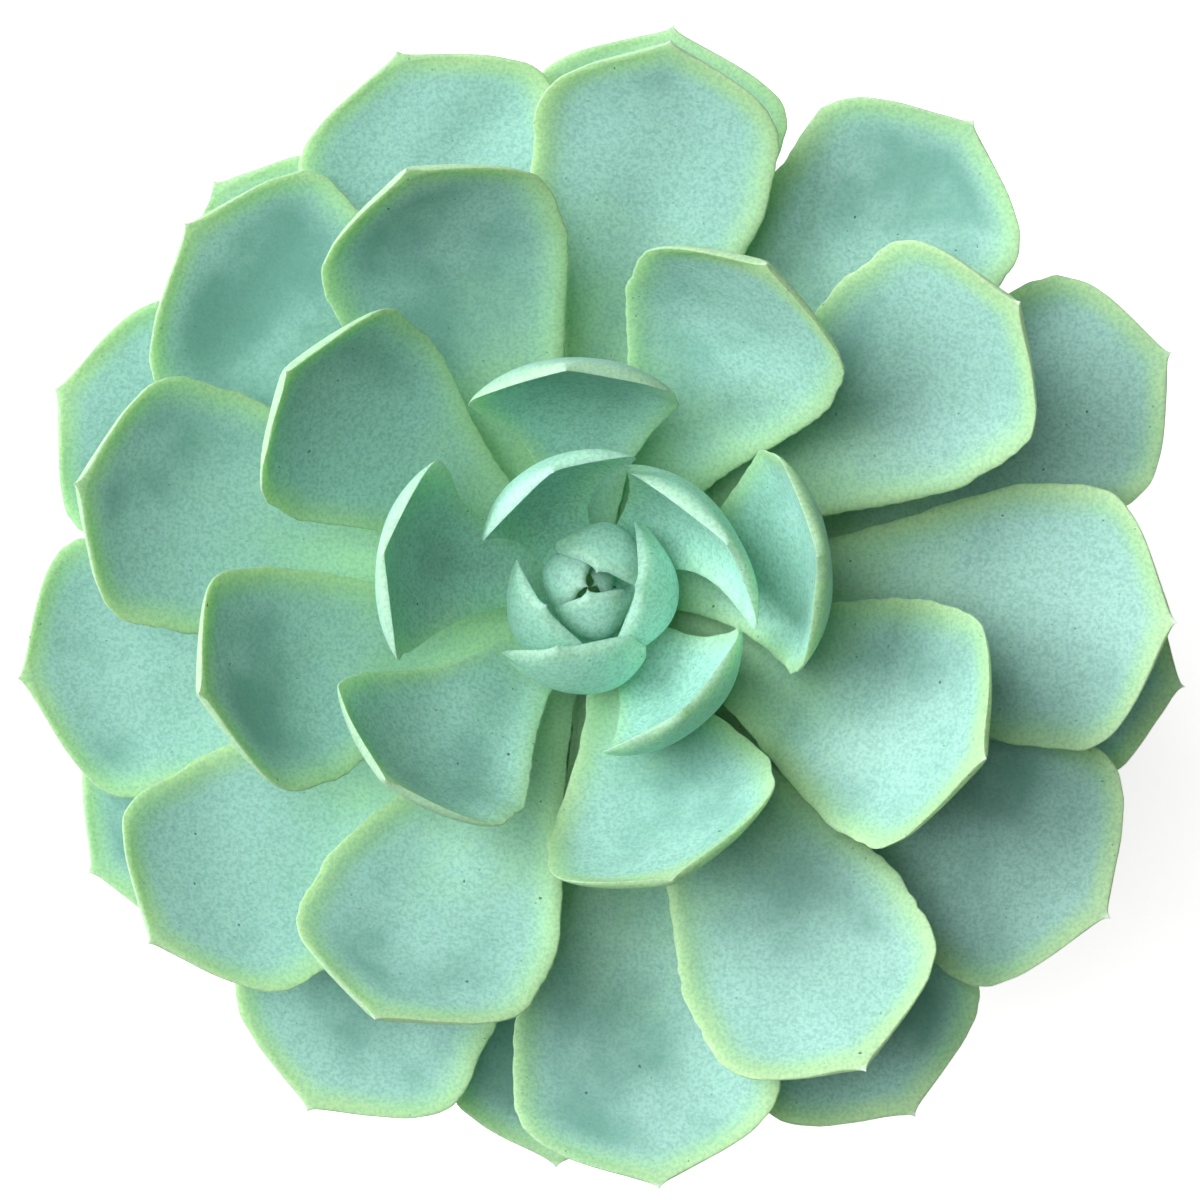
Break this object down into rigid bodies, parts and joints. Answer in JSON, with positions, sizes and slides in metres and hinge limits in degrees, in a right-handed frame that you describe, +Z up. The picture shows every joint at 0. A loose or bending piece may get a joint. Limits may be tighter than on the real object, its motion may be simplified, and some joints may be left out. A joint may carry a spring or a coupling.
{
  "type": "potted succulent",
  "caption": "Rosette succulent with thick spoon-shaped leaves in a spiral around a short stem, planted in a plain tapered clay pot with a rim band.",
  "frame": {"origin": "middle of the plant's footprint on the surface that the pot stands on, on the pot's axis", "axes": "+Z up along the pot's axis; +X to the right and +Y away in a view from above"},
  "size_m": [0.146, 0.1449, 0.1294],
  "materials": {
    "leaf": "matte",
    "bark": "matte",
    "earth": "matte",
    "clay": "matte"
  },
  "bodies": {
    "root": {"pot": "clay", "soil": "earth", "stem": "bark", "leaf_01": "leaf", "leaf_02": "leaf", "leaf_03": "leaf", "leaf_04": "leaf", "leaf_05": "leaf", "leaf_06": "leaf", "leaf_07": "leaf", "leaf_08": "leaf", "leaf_09": "leaf", "leaf_10": "leaf", "leaf_11": "leaf", "leaf_12": "leaf", "leaf_13": "leaf", "leaf_14": "leaf", "leaf_15": "leaf", "leaf_16": "leaf", "leaf_17": "leaf", "leaf_18": "leaf", "leaf_19": "leaf", "leaf_20": "leaf", "leaf_21": "leaf", "leaf_22": "leaf", "leaf_23": "leaf", "leaf_24": "leaf", "leaf_25": "leaf", "leaf_26": "leaf", "leaf_27": "leaf", "leaf_28": "leaf", "leaf_29": "leaf", "leaf_30": "leaf", "leaf_31": "leaf", "leaf_32": "leaf", "leaf_33": "leaf", "leaf_34": "leaf", "leaf_35": "leaf", "leaf_36": "leaf", "leaf_37": "leaf", "leaf_38": "leaf", "leaf_39": "leaf", "leaf_40": "leaf", "leaf_41": "leaf", "leaf_42": "leaf", "leaf_43": "leaf"}
  },
  "joints": []
}
